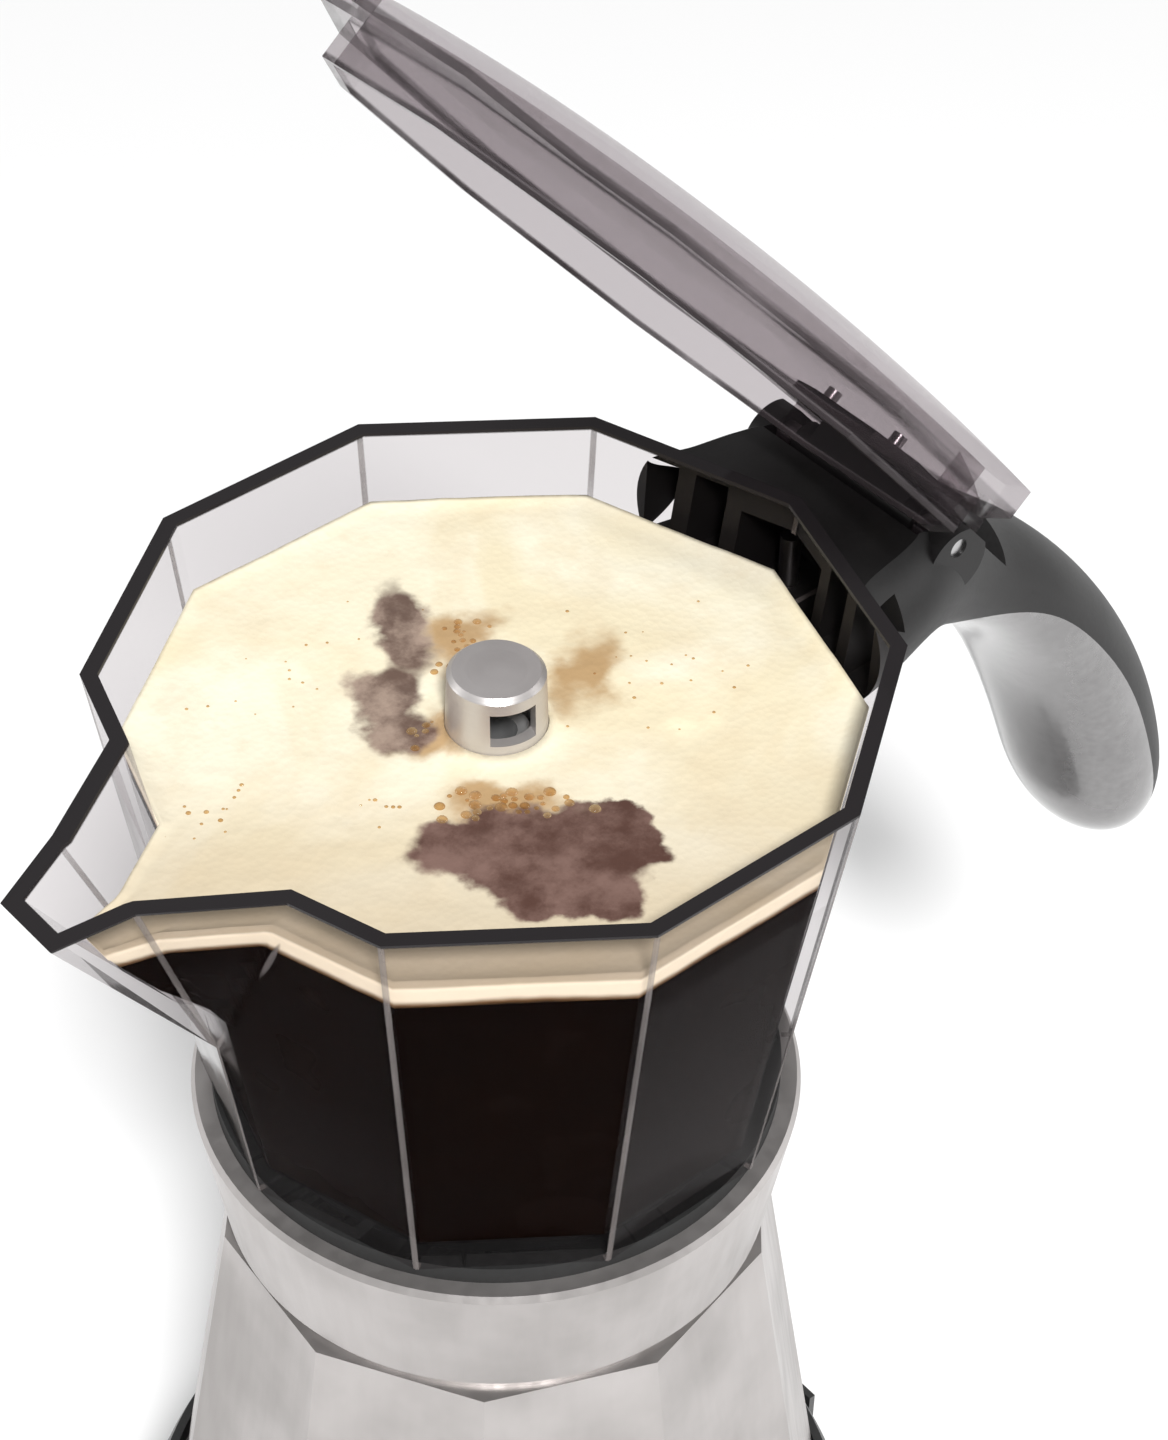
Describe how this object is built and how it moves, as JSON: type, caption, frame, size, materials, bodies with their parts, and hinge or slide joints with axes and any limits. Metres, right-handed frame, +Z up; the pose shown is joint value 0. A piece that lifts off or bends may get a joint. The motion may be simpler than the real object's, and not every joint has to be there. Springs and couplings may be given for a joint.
{
  "type": "electric moka pot",
  "caption": "Stovetop-style coffee pot with its own heated base, facetted metal boiler, clear carafe with a spout, hook handle and hinged clear lid.",
  "frame": {"origin": "on the floor, centre of the power base's underside, on the axis of the pot", "axes": "+Z up along the pot's axis, +X towards the handle, -X towards the spout"},
  "size_m": [0.2062, 0.143, 0.3532],
  "materials": {
    "black_plastic": "satin moulded plastic",
    "rocker_plastic": "gloss moulded plastic",
    "handle_black": "satin moulded plastic",
    "handle_grey": "high gloss moulded plastic",
    "smoked_clear": "clear smoked polymer, polished",
    "cast_aluminium": "satin",
    "steel": "brushed",
    "brass": "machined",
    "black_rubber": "matt",
    "white_rubber": "matt silicone",
    "lamp": "translucent"
  },
  "bodies": {
    "power_base": {"base_feet": "black_rubber", "power_base_shell": "black_plastic", "power_base_cover": "black_plastic", "base_screws": "steel", "base_connector": "black_plastic", "base_contact_rings": "brass", "cord_gland": "black_rubber", "base_terminal_block": "black_plastic"},
    "pot_socket_body": {"pot_socket": "black_plastic"},
    "boiler_body": {"heater_housing": "black_plastic", "housing_bottom_cover": "black_plastic", "housing_screws": "steel", "heater_plate": "cast_aluminium", "heating_element": "steel", "thermostat": "steel", "thermal_fuse": "steel", "switch_bezel": "black_plastic", "indicator_lens": "lamp", "boiler": "cast_aluminium", "safety_valve_body": "brass", "valve_washer": "black_rubber", "valve_spring": "steel"},
    "switch_body": {"switch_rocker": "rocker_plastic"},
    "valve_stem_body": {"valve_stem": "brass"},
    "funnel_body": {"funnel": "cast_aluminium"},
    "filter_plate_body": {"filter_plate": "steel"},
    "gasket_body": {"gasket": "white_rubber"},
    "carafe_body": {"collar": "cast_aluminium", "carafe_seal": "black_rubber", "carafe": "smoked_clear", "column": "cast_aluminium", "column_washer": "black_rubber", "column_cap": "steel", "handle_shell": "handle_black", "handle_inner_cover": "handle_grey", "handle_screws": "steel", "lid_hinge_pin": "steel"},
    "lid_body": {"lid": "smoked_clear", "lid_hinge_lever": "handle_black", "lid_screws": "steel"}
  },
  "joints": [
    {"name": "pot_lift", "type": "slide", "parent": "power_base", "child": "pot_socket_body", "axis": [0, 0, 1], "range_m": [0, 0.06]},
    {"name": "pot_swivel", "type": "hinge", "parent": "pot_socket_body", "child": "boiler_body", "pos_m": [0, 0, 0.03], "axis": [0, 0, 1], "continuous": true},
    {"name": "switch_rock", "type": "hinge", "parent": "boiler_body", "child": "switch_body", "pos_m": [0.0617, 0, 0.0445], "axis": [0, 1, 0], "range_deg": [0, 12]},
    {"name": "valve_lift", "type": "slide", "parent": "boiler_body", "child": "valve_stem_body", "axis": [0.3987, 0.9171, 0], "range_m": [0, 0.0012], "stiffness_N_per_m": 800, "springref_m": -0.002},
    {"name": "carafe_lift", "type": "slide", "parent": "boiler_body", "child": "filter_plate_body", "axis": [0, 0, 1], "range_m": [0, 0.24]},
    {"name": "carafe_turn", "type": "hinge", "parent": "filter_plate_body", "child": "carafe_body", "pos_m": [0, 0, 0.162], "axis": [0, 0, 1], "range_deg": [0, 450]},
    {"name": "gasket_drop", "type": "slide", "parent": "filter_plate_body", "child": "gasket_body", "axis": [0, 0, -1], "range_m": [0, 0.03]},
    {"name": "funnel_lift", "type": "slide", "parent": "boiler_body", "child": "funnel_body", "axis": [0, 0, 1], "range_m": [0, 0.12]},
    {"name": "lid_hinge", "type": "hinge", "parent": "carafe_body", "child": "lid_body", "pos_m": [0.066, 0, 0.2508], "axis": [0, 1, 0], "range_deg": [-50.5, 0]}
  ],
  "couplings": [
    {"joint": "gasket_drop", "follows": "carafe_lift", "ratio": 0.12},
    {"joint": "funnel_lift", "follows": "carafe_lift", "ratio": 0.45}
  ]
}
